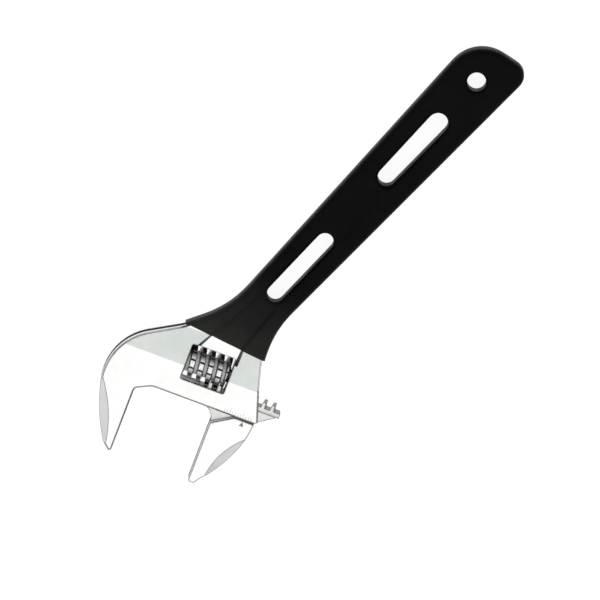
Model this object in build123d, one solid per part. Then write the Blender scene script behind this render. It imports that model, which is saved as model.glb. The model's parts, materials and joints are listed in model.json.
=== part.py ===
from build123d import *
import math
import os

# Adjustable wrench of the 200 mm class, in millimetres.
#
# Frame: the origin is the centre of the hang hole at mid thickness, +X runs along the handle to
# the head, +Y points to the moving jaw's side and +Z is square to the flat faces.
#
# The head has its own plane frame. u is the way the jaw opens and w is the way the jaws point,
# both measured from the corner where the fixed jaw's face would meet the throat.

# ---- head ------------------------------------------------------------------------------------
HEAD_ANGLE = 22.5
HEAD_X = 162.0
HEAD_Y = -14.4
HEAD_THICKNESS = 11.2
HEAD_LENGTH = 46.0
HEAD_CREASE = 11.3
HEAD_BACK_RADIUS = 20.8
HEAD_BACK_CENTRE = 8.0
HEAD_EDGE_CHAMFER = 0.5
END_BEND = (42.3, -11.2)
END_BEND_RADIUS = 40.0
END_CORNER_RADIUS = 1.0

# ---- jaws ------------------------------------------------------------------------------------
JAW_DEPTH = 27.8
REST_OPENING = 29.6
FIXED_JAW_START_ANGLE = 168.0
FIXED_JAW_SHOULDER = (-4.8, 23.3)
SHOULDER_RUN = 1.8
SHOULDER_ROUND = 4.0
JAW_TIP_ROUND = 0.85
THROAT_ROOT_WIDTH = 5.6
THROAT_ROOT_HEIGHT = 2.8
THROAT_ROOT_ROUND = 1.4
THROAT_BLEND = 6.0
MOVING_JAW_THICKNESS = 10.8
MOVING_JAW_WIDTH = 15.1
MOVING_JAW_BELLY = (12.1, 13.1)
MOVING_JAW_SHOULDER = (4.2, 25.0)
MOVING_JAW_TIP_WIDTH = 2.3
MOVING_JAW_TIP_ROUND = 0.9
HEEL_HEIGHT = 5.0
HEEL_WIDTH = 7.6
LIP_GAP = 0.3
JAW_EDGE_ROUND = 0.45

# ---- ground facets on the outer edges of both jaws --------------------------------------------
FACET_ANGLE = 32.0
FACET_DEPTH = 1.75
FACET_WHEEL_WIDTH = 24.0
FIXED_FACET_AT = (-9.35, 14.2)
FIXED_FACET_FACING = (-0.915, 0.402)
FIXED_FACET_RADIUS = 94.0
MOVING_FACET_AT = (10.78, 15.9)
MOVING_FACET_FACING = (0.893, 0.451)
MOVING_FACET_RADIUS = 49.0

# ---- worm and rack ---------------------------------------------------------------------------
PITCH = 3.4
WORM_RADIUS = 6.3
WORM_ROOT_RADIUS = 4.1
WORM_LENGTH = 15.5
WORM_CREST = 1.5
WORM_RIDGE_BASE = 2.0
WORM_RIDGE_EMBED = 0.2
WORM_END_GAP = 0.3
WORM_CHAMFER = 0.6
WORM_OUTER_SPARE = 0.15
WORM_LAND_AT = 17.0
KNURL_COUNT = 13
KNURL_DEPTH = 0.45
MESH_GAP = 0.15
TIP_GAP = 0.25

# ---- worm window -----------------------------------------------------------------------------
WINDOW_START = 13.85
WINDOW_LENGTH = 16.7
WINDOW_SIDE_GAP = 0.35
WINDOW_CORNER = 0.8
THROAT_TO_WINDOW = 6.3

# ---- pin and spring --------------------------------------------------------------------------
PIN_RADIUS = 2.0
PIN_RUNNING_GAP = 0.05
PIN_BLIND_DEPTH = 5.0
PIN_HEAD_RADIUS = 2.6
PIN_HEAD_LENGTH = 5.0
PIN_HEAD_INSET = 1.2
PIN_SLOT_WIDTH = 0.9
PIN_SLOT_DEPTH = 1.2
SPRING_WIRE_RADIUS = 0.35
SPRING_TURNS = 4.0
SPRING_BORE_DEPTH = 4.2
SPRING_GAP = 0.2

# ---- rail and neck of the moving jaw ---------------------------------------------------------
RAIL_WIDTH = 7.8
RAIL_BOTTOM = 4.5
RAIL_TAIL = 8.0
RAIL_REACH = 22.7
RAIL_ROUND = 1.2
RAIL_END_ROUND = 0.7
NECK_WIDTH = 4.4
NECK_LEAD = 3.6
NECK_CURVE_AT = (-1.08, 1.9)
NECK_SLIDE_GAP = 0.15
CHANNEL_END_GAP = 0.6
TOOTH_TIP_ROUND = 0.45
TOOTH_EMBED = 0.5

# ---- handle ----------------------------------------------------------------------------------
HANDLE_CORE_THICKNESS = 8.6
HANDLE_WEB_THICKNESS = 7.2
HANDLE_END_WIDTH = 21.6
HANDLE_NECK_WIDTH = 16.0
HANDLE_NECK_X = 115.0
HANDLE_CENTRE_Y = 0.46
HANDLE_END_X_JAW_SIDE = -14.7
HANDLE_END_X_FIXED_SIDE = -11.0
END_RADIUS_JAW_SIDE = 4.2
END_RADIUS_FIXED_SIDE = 13.1
FLARE_X_FIXED_SIDE = 120.3
FLARE_X_JAW_SIDE = 115.0
FLARE_RADIUS = 38.0
FLARE_END_FIXED_SIDE = (8.9, -24.6)
FLARE_END_JAW_SIDE = (39.3, -22.3)
FLARE_END_RADIUS = 20.0
HANG_HOLE_RADIUS = 3.45
SLOT_CENTRE_Y = 0.15
REAR_SLOT_ENDS = ((20.3, 3.65), (47.1, 3.25))
FRONT_SLOT_ENDS = ((79.4, 3.15), (105.2, 3.1))

# ---- sunk web between the front slot and the worm window ---------------------------------------
WEB_TAPER = 40.0
WEB_REACH = 3.0
WEB_START_X = 58.0
WEB_START_HALF_WIDTH = 4.2
WEB_SLOT_X = 92.35
WEB_SLOT_HALF_WIDTH = 3.9
WEB_NECK_HALF_WIDTH = 4.2
WEB_HEAD_INSET = 5.4
WEB_HEAD_OUTSET = 0.6
WEB_WINDOW_INSET = 2.4
WEB_WINDOW_OVERLAP = 1.0
WEB_START_ROUND = 1.5
WEB_NECK_ROUND = 12.0
WEB_HEAD_ROUND = 8.0

# ---- grip ------------------------------------------------------------------------------------
GRIP_WALL = 0.9
GRIP_EDGE_ROUND = 1.8
GRIP_BORDER_MIDDLE = (22.0, -24.3)
GRIP_BORDER_TILT = 5.9

# ---- what follows from the sizes above -------------------------------------------------------
SIN_HEAD = math.sin(math.radians(HEAD_ANGLE))
COS_HEAD = math.cos(math.radians(HEAD_ANGLE))
HEAD = Plane(origin=(HEAD_X, HEAD_Y, 0), x_dir=(-SIN_HEAD, COS_HEAD, 0), z_dir=(0, 0, -1))

WINDOW_TOP = -(THROAT_TO_WINDOW + 2 * (WORM_RADIUS + WINDOW_SIDE_GAP))
WORM_W = -(THROAT_TO_WINDOW + WORM_RADIUS + WINDOW_SIDE_GAP)
WORM_START = WINDOW_START + WORM_END_GAP
WORM_END = WORM_START + WORM_LENGTH
TOOTH_TIP_W = WORM_W + WORM_ROOT_RADIUS + TIP_GAP
TOOTH_ROOT_W = WORM_W + WORM_RADIUS + TIP_GAP
PITCH_RADIUS = (WORM_RADIUS + WORM_ROOT_RADIUS) / 2
TOOTH_SLANT = PITCH / (2 * math.pi * PITCH_RADIUS)
TOOTH_TIP_WIDTH = PITCH - WORM_RIDGE_BASE - 2 * MESH_GAP
TOOTH_BASE_WIDTH = PITCH - WORM_CREST - 2 * MESH_GAP
CHANNEL_END = -(RAIL_TAIL + CHANNEL_END_GAP)
PIN_END = END_BEND[0] - PIN_HEAD_INSET
SPRING_OUTER_RADIUS = PIN_RADIUS + PIN_RUNNING_GAP + SPRING_GAP + 2 * SPRING_WIRE_RADIUS
SPRING_BORE_RADIUS = SPRING_OUTER_RADIUS + SPRING_GAP
BIG = 400.0


def handle_point(x, y):
    """A point of the handle, given in the head's plane frame."""
    local = HEAD.to_local_coords(Vector(x, y, 0))
    return (local.X, local.Y)


def in_head(shape):
    """Place a shape drawn in the head's plane frame."""
    return HEAD * shape


def both_sides(face, thickness):
    """A plate of the given thickness, centred on the face's plane."""
    return extrude(face, amount=thickness / 2, both=True)


def box_between(low, high):
    """A box from one corner to the other."""
    size = [b - a for a, b in zip(low, high)]
    middle = [(a + b) / 2 for a, b in zip(low, high)]
    return Pos(*middle) * Box(*size)


def rod_along_u(radius, start, end, w):
    """A round bar along u at the given w, in the head's frame."""
    return Pos((start + end) / 2, w, 0) * Rot(0, 90, 0) * Cylinder(radius, end - start)


def tangent_point(outside, centre_u, radius):
    """Where the line from a point touches the back circle of the head."""
    du = centre_u - outside[0]
    dw = -outside[1]
    distance = math.hypot(du, dw)
    run = math.sqrt(distance**2 - radius**2)
    angle = math.atan2(dw, du) + math.asin(radius / distance)
    return (outside[0] + run * math.cos(angle), outside[1] + run * math.sin(angle))


# ---- outlines --------------------------------------------------------------------------------
def handle_edge_y(x, side):
    """The core's long edge: side is +1 towards the moving jaw and -1 away from it."""
    taper = (HANDLE_END_WIDTH - HANDLE_NECK_WIDTH) / HANDLE_NECK_X
    return HANDLE_CENTRE_Y + side * (HANDLE_END_WIDTH - taper * x) / 2


def handle_edge_point(x, side):
    """A point of the core's long edge, in the head's frame."""
    return handle_point(x, handle_edge_y(x, side))


def back_circle_point(degrees):
    """A point of the circle that rounds the back of the head."""
    angle = math.radians(degrees)
    return (
        HEAD_BACK_CENTRE + HEAD_BACK_RADIUS * math.cos(angle),
        HEAD_BACK_RADIUS * math.sin(angle),
    )


def body_outline():
    """The forging's outline in the head's frame: fixed jaw, throat, head end and handle."""
    back_start = tangent_point(FLARE_END_FIXED_SIDE, HEAD_BACK_CENTRE, HEAD_BACK_RADIUS)
    back_end = back_circle_point(FIXED_JAW_START_ANGLE)
    middle_angle = math.degrees(math.atan2(back_start[1], back_start[0] - HEAD_BACK_CENTRE)) % 360
    back_middle = back_circle_point((middle_angle + FIXED_JAW_START_ANGLE) / 2)
    back = ThreePointArc(back_start, back_middle, back_end)
    belly = TangentArc(back_end, FIXED_JAW_SHOULDER, tangent=back % 1)
    shoulder_end = Vector(*FIXED_JAW_SHOULDER) + (belly % 1) * SHOULDER_RUN
    corners = [
        FIXED_JAW_SHOULDER,
        (shoulder_end.X, shoulder_end.Y),
        (0, JAW_DEPTH + JAW_TIP_ROUND / 2),
        (0, THROAT_ROOT_HEIGHT),
        (THROAT_ROOT_WIDTH, 0),
        (HEAD_LENGTH, 0),
        END_BEND,
        FLARE_END_JAW_SIDE,
        handle_edge_point(FLARE_X_JAW_SIDE, 1),
        handle_edge_point(HANDLE_END_X_JAW_SIDE, 1),
        handle_edge_point(HANDLE_END_X_FIXED_SIDE, -1),
        handle_edge_point(FLARE_X_FIXED_SIDE, -1),
        FLARE_END_FIXED_SIDE,
        back_start,
    ]
    rounds = [
        SHOULDER_ROUND,
        JAW_TIP_ROUND,
        THROAT_ROOT_ROUND,
        THROAT_BLEND,
        END_CORNER_RADIUS,
        END_BEND_RADIUS,
        FLARE_END_RADIUS,
        FLARE_RADIUS,
        END_RADIUS_JAW_SIDE,
        END_RADIUS_FIXED_SIDE,
        FLARE_RADIUS,
        FLARE_END_RADIUS,
    ]
    straight = FilletPolyline(*corners, radius=rounds)
    return make_face([*straight.edges(), back, belly])


def moving_jaw_outline():
    """The jaw's thick plate, in the head's frame with its face on u = 0."""
    corners = [
        (MOVING_JAW_WIDTH, LIP_GAP),
        (HEEL_WIDTH, LIP_GAP),
        (0, HEEL_HEIGHT),
        (0, JAW_DEPTH),
        (MOVING_JAW_TIP_WIDTH, JAW_DEPTH),
        MOVING_JAW_SHOULDER,
    ]
    lines = FilletPolyline(*corners, radius=[0, 0, MOVING_JAW_TIP_ROUND, MOVING_JAW_TIP_ROUND])
    belly = ThreePointArc(MOVING_JAW_SHOULDER, MOVING_JAW_BELLY, (MOVING_JAW_WIDTH, LIP_GAP))
    return make_face([*lines.edges(), belly])


def neck_outline(gap=0.0, run_out=0.0):
    """The thin neck between rail and jaw. gap widens it, and run_out lengthens it along u."""
    tail = -RAIL_TAIL - gap
    lead = -NECK_LEAD - gap
    low = -RAIL_BOTTOM - RAIL_ROUND
    foot = (-gap, HEEL_HEIGHT + gap)
    bend = (NECK_CURVE_AT[0] - gap, NECK_CURVE_AT[1])
    curve = ThreePointArc((lead, LIP_GAP), bend, foot)
    lines = Polyline(
        foot,
        (HEEL_WIDTH + run_out, HEEL_HEIGHT + gap),
        (MOVING_JAW_WIDTH + run_out, LIP_GAP),
        (RAIL_REACH - RAIL_END_ROUND + run_out, -RAIL_BOTTOM),
        (RAIL_REACH - RAIL_END_ROUND + run_out, low),
        (tail, low),
        (tail, -RAIL_BOTTOM + RAIL_ROUND),
        (lead, LIP_GAP),
    )
    return make_face([curve, *lines.edges()])


def rail_section(gap=0.0):
    """The rail's cross-section across u, with rounded lower corners."""
    half = RAIL_WIDTH / 2 + gap
    top = TOOTH_TIP_W - gap
    bottom = -RAIL_BOTTOM + gap
    corners = [(top, -half), (top, half), (bottom, half), (bottom, -half)]
    line = FilletPolyline(*corners, radius=[0, 0, RAIL_ROUND, RAIL_ROUND], close=True)
    return make_face(line)


def prism_along_u(section, start, end):
    """Run a section drawn in (w, z) from one u to another."""
    across = Plane(origin=(start, 0, 0), x_dir=(0, 1, 0), z_dir=(1, 0, 0))
    return extrude(across * section, amount=end - start)


# ---- facets ----------------------------------------------------------------------------------
def facet_wheels(edge_point, facing, radius, thickness):
    """Two wheels, above and below, that grind a lens-shaped facet on a jaw's outer edge."""
    tilt = math.radians(FACET_ANGLE)
    outward = Vector(*facing).normalized()
    wheels = []
    for side in (1, -1):
        face_normal = Vector(0, 0, side)
        axis = outward * math.cos(tilt) - face_normal * math.sin(tilt)
        lift = outward * math.sin(tilt) + face_normal * math.cos(tilt)
        corner = Vector(*edge_point) + face_normal * (thickness / 2)
        centre = corner + lift * (radius - FACET_DEPTH)
        wheel = Cylinder(radius, FACET_WHEEL_WIDTH)
        wheels.append(Plane(origin=centre, z_dir=axis) * wheel)
    return wheels


# ---- pieces ----------------------------------------------------------------------------------
def body_section():
    """The forging's thickness along w: thick at the jaws and thin at the handle."""
    head = HEAD_THICKNESS / 2
    core = HANDLE_CORE_THICKNESS / 2
    slope_end = FLARE_END_FIXED_SIDE[1]
    half = [(BIG, head), (-HEAD_CREASE, head), (slope_end, core), (-BIG, core)]
    mirrored = [(w, -z) for w, z in reversed(half)]
    return make_face(Polyline(*half, *mirrored, close=True))


def web_panel():
    """The sunk panel from the second slot to the window, drawn in the head's frame."""
    window_end = WINDOW_START + WINDOW_LENGTH
    corners = [
        handle_point(WEB_START_X, -WEB_START_HALF_WIDTH),
        handle_point(WEB_SLOT_X, -WEB_SLOT_HALF_WIDTH),
        handle_point(FLARE_X_FIXED_SIDE, -WEB_NECK_HALF_WIDTH),
        (WINDOW_START + WEB_HEAD_INSET, FLARE_END_FIXED_SIDE[1]),
        (WINDOW_START + WEB_WINDOW_INSET, WINDOW_TOP + WEB_WINDOW_OVERLAP),
        (window_end, WINDOW_TOP + WEB_WINDOW_OVERLAP),
        (window_end + WEB_HEAD_OUTSET, FLARE_END_FIXED_SIDE[1]),
        handle_point(FLARE_X_FIXED_SIDE, WEB_NECK_HALF_WIDTH),
        handle_point(WEB_SLOT_X, WEB_SLOT_HALF_WIDTH),
        handle_point(WEB_START_X, WEB_START_HALF_WIDTH),
    ]
    half = [WEB_START_ROUND, 0, WEB_NECK_ROUND, WEB_HEAD_ROUND, 0]
    return make_face(FilletPolyline(*corners, radius=[*half, *reversed(half)], close=True))


def web_pockets(depth_from):
    """Cutters for the sunk panel on both faces, with sloping walls."""
    panel = web_panel()
    upper = extrude(Pos(0, 0, depth_from) * panel, amount=WEB_REACH, taper=-WEB_TAPER)
    lower = mirror(upper, about=Plane.XY)
    return [upper, lower]


def slot_cutters(grow):
    """Cutters for the hang hole and the two long slots, in the part's frame."""
    cutters = [Cylinder(HANG_HOLE_RADIUS + grow, BIG)]
    for ends in (REAR_SLOT_ENDS, FRONT_SLOT_ENDS):
        rounds = [Pos(x, SLOT_CENTRE_Y) * Circle(radius + grow) for x, radius in ends]
        slot = make_hull(rounds[0].edges() + rounds[1].edges())
        cutters.append(both_sides(slot, BIG))
    return cutters


def body_blank():
    """The forging before the window, channel and holes are cut."""
    plate = in_head(both_sides(body_outline(), HEAD_THICKNESS))
    envelope = in_head(prism_along_u(body_section(), -BIG, BIG))
    return plate & envelope


def outline_edges(solid):
    """The blank's face edges that follow the outline, without the creases across it."""
    crease = Vector(-SIN_HEAD, COS_HEAD, 0)
    picked = []
    for edge in solid.edges():
        upright = abs(edge.tangent_at(0.5).Z) > 0.9
        across = edge.geom_type == GeomType.LINE and abs(edge.tangent_at(0.5).dot(crease)) > 0.9999
        throat = abs(HEAD.to_local_coords(edge.center()).Y) < 0.01
        if not upright and (throat or not across):
            picked.append(edge)
    return picked


def make_body():
    """The forged body: head, fixed jaw and handle core."""
    body = body_blank()
    body = chamfer(outline_edges(body), HEAD_EDGE_CHAMFER)
    window = box_between(
        (WINDOW_START, WINDOW_TOP, -BIG), (WINDOW_START + WINDOW_LENGTH, -THROAT_TO_WINDOW, BIG)
    )
    window = fillet(window.edges().filter_by(Axis.Z), WINDOW_CORNER)
    channel = prism_along_u(rail_section(NECK_SLIDE_GAP), CHANNEL_END, BIG)
    neck_slot = both_sides(neck_outline(NECK_SLIDE_GAP, BIG), NECK_WIDTH + 2 * NECK_SLIDE_GAP)
    blind_hole = rod_along_u(
        PIN_RADIUS + PIN_RUNNING_GAP, WINDOW_START - PIN_BLIND_DEPTH, PIN_END, WORM_W
    )
    head_hole = rod_along_u(PIN_HEAD_RADIUS, PIN_END - PIN_HEAD_LENGTH, BIG, WORM_W)
    cutters = [window, channel, neck_slot, blind_hole, head_hole]
    cutters += web_pockets(HANDLE_WEB_THICKNESS / 2)
    cutters += facet_wheels(
        FIXED_FACET_AT, FIXED_FACET_FACING, FIXED_FACET_RADIUS, HEAD_THICKNESS
    )
    for cutter in cutters:
        body -= in_head(cutter)
    for cutter in slot_cutters(GRIP_WALL):
        body -= cutter
    return body


def rack_tooth(u):
    """One tooth, slanted like the worm's thread, with its middle at u on the mid plane."""
    half_base = TOOTH_BASE_WIDTH / 2
    half_tip = TOOTH_TIP_WIDTH / 2
    foot = TOOTH_ROOT_W + TOOTH_EMBED
    corners = [
        (u - half_base, foot),
        (u - half_base, TOOTH_ROOT_W),
        (u - half_tip, TOOTH_TIP_W),
        (u + half_tip, TOOTH_TIP_W),
        (u + half_base, TOOTH_ROOT_W),
        (u + half_base, foot),
    ]
    rounds = [0, 0, TOOTH_TIP_ROUND, TOOTH_TIP_ROUND, 0, 0]
    face = make_face(FilletPolyline(*corners, radius=rounds, close=True))
    half = RAIL_WIDTH / 2
    start = Pos(-TOOTH_SLANT * half, 0, -half) * face
    slant = Vector(TOOTH_SLANT, 0, 1)
    return extrude(start, amount=RAIL_WIDTH * slant.length, dir=slant)


def tooth_places():
    """Where the teeth stand on the rail, counted from the jaw's face."""
    first = WORM_LAND_AT + PITCH / 2 - REST_OPENING
    lowest = -RAIL_TAIL + TOOTH_BASE_WIDTH
    highest = RAIL_REACH - TOOTH_BASE_WIDTH
    steps = range(-20, 21)
    return [first + k * PITCH for k in steps if lowest < first + k * PITCH < highest]


def make_movable_jaw():
    """The moving jaw with its neck and toothed rail, at the rest opening."""
    plate = both_sides(moving_jaw_outline(), MOVING_JAW_THICKNESS)
    plate = fillet(plate.edges().group_by(Axis.Z)[0], JAW_EDGE_ROUND)
    plate = fillet(plate.edges().group_by(Axis.Z)[-1], JAW_EDGE_ROUND)
    wheels = facet_wheels(
        MOVING_FACET_AT, MOVING_FACET_FACING, MOVING_FACET_RADIUS, MOVING_JAW_THICKNESS
    )
    for wheel in wheels:
        plate -= wheel
    neck = both_sides(neck_outline(), NECK_WIDTH)
    rail = prism_along_u(rail_section(), -RAIL_TAIL, RAIL_REACH)
    rail -= box_between((-BIG, TOOTH_TIP_W - 1, -BIG), (BIG, TOOTH_ROOT_W, BIG))
    jaw = plate + neck + rail
    for place in tooth_places():
        jaw += rack_tooth(place)
    return in_head(Pos(REST_OPENING, 0, 0) * jaw)


def worm_ridge():
    """The worm's single-start right-hand thread, longer than the worm at both ends."""
    inner = WORM_ROOT_RADIUS - WORM_RIDGE_EMBED
    slope = (WORM_RIDGE_BASE - WORM_CREST) / 2 / (WORM_RADIUS - WORM_ROOT_RADIUS)
    half_crest = WORM_CREST / 2
    half_base = half_crest + slope * (WORM_RADIUS - inner)
    corners = [
        (inner, -half_base),
        (WORM_RADIUS, -half_crest),
        (WORM_RADIUS, half_crest),
        (inner, half_base),
    ]
    section = Plane.XZ * make_face(Polyline(*corners, close=True))
    path = Helix(pitch=PITCH, height=WORM_LENGTH + 3 * PITCH, radius=WORM_ROOT_RADIUS)
    return sweep(section, path=path, is_frenet=True)


def worm_limit():
    """The worm's turned envelope along +Z, with a chamfer at each end."""
    outer = WORM_RADIUS + WORM_OUTER_SPARE
    neck = outer - WORM_CHAMFER
    half_profile = [
        (0, 0),
        (neck, 0),
        (outer, WORM_CHAMFER),
        (outer, WORM_LENGTH - WORM_CHAMFER),
        (neck, WORM_LENGTH),
        (0, WORM_LENGTH),
    ]
    return revolve(Plane.XZ * make_face(Polyline(*half_profile, close=True)), Axis.Z)


def knurl_flutes():
    """V-shaped flutes along the worm, evenly spaced round it: one at the bottom, a land on top."""
    side = 2 * KNURL_DEPTH
    flute = Rot(0, 0, 45) * Box(side, side, 2 * WORM_LENGTH)
    reach = WORM_RADIUS + side / math.sqrt(2) - KNURL_DEPTH
    return [
        Rot(0, 0, 90 + 360 * step / KNURL_COUNT) * Pos(reach, 0, WORM_LENGTH / 2) * flute
        for step in range(KNURL_COUNT)
    ]


def worm_blank():
    """The worm along +Z: a core and the ridge turned to its place, with chamfered ends."""
    start = (WORM_LAND_AT - WORM_START) % PITCH - 2 * PITCH
    ridge = Pos(0, 0, start) * worm_ridge()
    core = Pos(0, 0, WORM_LENGTH / 2) * Cylinder(WORM_ROOT_RADIUS, WORM_LENGTH)
    between_ends = Pos(0, 0, WORM_LENGTH / 2) * Cylinder(2 * WORM_RADIUS, WORM_LENGTH)
    return (core + (ridge & between_ends)) & worm_limit()


def make_worm():
    """The worm with its knurl, bore and spring pocket, in its place in the window."""
    bore = Cylinder(PIN_RADIUS + PIN_RUNNING_GAP, BIG)
    pocket_start = WORM_LENGTH - SPRING_BORE_DEPTH
    pocket = Pos(0, 0, pocket_start + BIG / 2) * Cylinder(SPRING_BORE_RADIUS, BIG)
    worm = worm_blank() - knurl_flutes() - bore - pocket
    across = Plane(origin=(WORM_START, WORM_W, 0), x_dir=(0, 1, 0), z_dir=(1, 0, 0))
    return in_head(across * worm)


def make_worm_pin():
    """The worm's axle: a smooth shaft with a slotted head that fills its hole in the head."""
    shaft = rod_along_u(PIN_RADIUS, WINDOW_START - PIN_BLIND_DEPTH, PIN_END, WORM_W)
    head = rod_along_u(PIN_HEAD_RADIUS, PIN_END - PIN_HEAD_LENGTH, PIN_END, WORM_W)
    half_slot = PIN_SLOT_WIDTH / 2
    slot = box_between(
        (PIN_END - PIN_SLOT_DEPTH, WORM_W - half_slot, -BIG), (BIG, WORM_W + half_slot, BIG)
    )
    return in_head(shaft + head - slot)


def make_worm_spring():
    """The spring between the worm's pocket and the window's end wall."""
    start = WORM_END - SPRING_BORE_DEPTH + SPRING_GAP + SPRING_WIRE_RADIUS
    end = WINDOW_START + WINDOW_LENGTH - SPRING_WIRE_RADIUS
    coil_radius = SPRING_OUTER_RADIUS - SPRING_WIRE_RADIUS
    height = end - start
    path = Helix(pitch=height / SPRING_TURNS, height=height, radius=coil_radius)
    wire = Plane(origin=path @ 0, z_dir=path % 0) * Circle(SPRING_WIRE_RADIUS)
    spring = sweep(wire, path=path, is_frenet=True)
    across = Plane(origin=(start, WORM_W, 0), x_dir=(0, 1, 0), z_dir=(1, 0, 0))
    return in_head(across * spring)


def grip_region(margin=0.0):
    """The half plane behind the grip's border, in the head's frame."""
    border = Pos(*GRIP_BORDER_MIDDLE) * Rot(0, 0, GRIP_BORDER_TILT)
    return border * Pos(0, margin - BIG / 2) * Rectangle(BIG, BIG)


def grip_blank():
    """The sleeve's outer shape in the head's frame, with rounded edges, cut at the border."""
    handle_face = body_outline() & grip_region(GRIP_EDGE_ROUND)
    grown = offset(handle_face, amount=GRIP_WALL)
    sleeve = both_sides(grown, HANDLE_CORE_THICKNESS + 2 * GRIP_WALL)
    sleeve = fillet(sleeve.edges().group_by(Axis.Z)[-1], GRIP_EDGE_ROUND)
    sleeve = fillet(sleeve.edges().group_by(Axis.Z)[0], GRIP_EDGE_ROUND)
    return sleeve & both_sides(grip_region(), BIG)


def make_grip(body):
    """The dipped sleeve: the handle grown by the wall, less the steel and its openings."""
    sleeve = grip_blank()
    for pocket in web_pockets(HANDLE_WEB_THICKNESS / 2 + GRIP_WALL):
        sleeve -= pocket
    sleeve = in_head(sleeve)
    for cutter in slot_cutters(0):
        sleeve -= cutter
    return sleeve - body


body_solid = make_body()
pieces = {
    "wrench_body": body_solid,
    "movable_jaw": make_movable_jaw(),
    "worm": make_worm(),
    "worm_pin": make_worm_pin(),
    "worm_spring": make_worm_spring(),
    "grip": make_grip(body_solid),
}
os.makedirs("parts", exist_ok=True)
for name, piece in pieces.items():
    export_step(piece, f"parts/{name}.step")
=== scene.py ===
import json
import math

import bmesh
import bpy
import numpy as np
from mathutils import Matrix, Vector
from mathutils.geometry import delaunay_2d_cdt


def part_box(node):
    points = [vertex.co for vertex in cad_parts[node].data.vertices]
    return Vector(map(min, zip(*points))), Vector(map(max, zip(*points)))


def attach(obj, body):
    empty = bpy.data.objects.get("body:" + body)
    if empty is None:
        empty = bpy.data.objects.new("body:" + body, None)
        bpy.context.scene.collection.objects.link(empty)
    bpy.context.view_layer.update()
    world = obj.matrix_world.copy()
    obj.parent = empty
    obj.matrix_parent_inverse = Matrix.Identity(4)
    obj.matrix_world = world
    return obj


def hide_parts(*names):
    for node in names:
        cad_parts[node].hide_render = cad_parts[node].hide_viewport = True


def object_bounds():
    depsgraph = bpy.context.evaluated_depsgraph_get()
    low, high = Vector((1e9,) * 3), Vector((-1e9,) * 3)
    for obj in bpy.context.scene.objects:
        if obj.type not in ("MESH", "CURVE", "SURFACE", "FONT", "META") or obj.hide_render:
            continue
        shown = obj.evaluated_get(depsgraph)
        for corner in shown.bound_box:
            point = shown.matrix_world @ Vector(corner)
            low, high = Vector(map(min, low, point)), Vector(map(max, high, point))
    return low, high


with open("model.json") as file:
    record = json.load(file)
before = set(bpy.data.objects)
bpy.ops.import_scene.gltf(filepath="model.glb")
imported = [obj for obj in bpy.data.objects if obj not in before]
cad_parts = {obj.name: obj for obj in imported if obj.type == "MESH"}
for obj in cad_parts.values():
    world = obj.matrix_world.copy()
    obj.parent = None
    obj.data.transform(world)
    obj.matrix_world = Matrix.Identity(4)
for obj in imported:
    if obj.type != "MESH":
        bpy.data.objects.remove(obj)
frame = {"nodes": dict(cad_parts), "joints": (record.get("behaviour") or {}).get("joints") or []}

CAD_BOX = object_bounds()
NODES = frame["nodes"]
MM = 0.001

# The head's own directions: U is the way the jaw opens and W is the way the jaws point.
SLIDE = next(j for j in frame["joints"] if j["type"] == "slide")
SPIN = next(j for j in frame["joints"] if j["type"] == "hinge")
U = Vector(SLIDE["axis"]).normalized()
W = Vector((U.y, -U.x, 0))
Z = Vector((0, 0, 1))
HEAD_ORIGIN = Vector((0.162, -0.0144, 0))


def head_point(u, w, z=0.0):
    """A point given in millimetres along U, W and Z from the fixed jaw's inner corner."""
    return HEAD_ORIGIN + (U * u + W * w + Z * z) * MM


def head_coords(p):
    """U, W and Z of a point, in millimetres."""
    d = Vector(p) - HEAD_ORIGIN
    return d.dot(U) / MM, d.dot(W) / MM, d.z / MM


# ---- camera ----------------------------------------------------------------------------------
CAMERA_RIGHT = Vector((-0.6845, 0.7290, 0)).normalized()
CAMERA_DOWN = Vector((0.7290, 0.6845, 0)).normalized()
CAMERA_TILT = math.radians(10.0)
CAMERA_DISTANCE = 9.0
CAMERA_TARGET = Vector((0.10135, 0.00854, 0))
VIEW_WIDTH = 0.2149
SENSOR = 36.0
CAMERA_CLIP = (0.5, 40.0)


def make_camera():
    """A long lens almost straight above, leaning towards the hang hole."""
    back = Z * math.cos(CAMERA_TILT) - CAMERA_DOWN * math.sin(CAMERA_TILT)
    up = back.cross(CAMERA_RIGHT)
    data = bpy.data.cameras.new("camera")
    data.sensor_width = SENSOR
    data.lens = SENSOR * CAMERA_DISTANCE / VIEW_WIDTH
    data.clip_start, data.clip_end = CAMERA_CLIP
    camera = bpy.data.objects.new("camera", data)
    bpy.context.scene.collection.objects.link(camera)
    turn = Matrix((CAMERA_RIGHT, up, back)).transposed()
    camera.matrix_world = Matrix.Translation(CAMERA_TARGET + back * CAMERA_DISTANCE) @ turn.to_4x4()
    bpy.context.scene.camera = camera


# ---- material nodes --------------------------------------------------------------------------
# how well a rounded normal agrees with the true one on an open face and on a crisp edge
OPEN_FACE = 0.9995
CRISP_EDGE = 0.985


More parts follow.
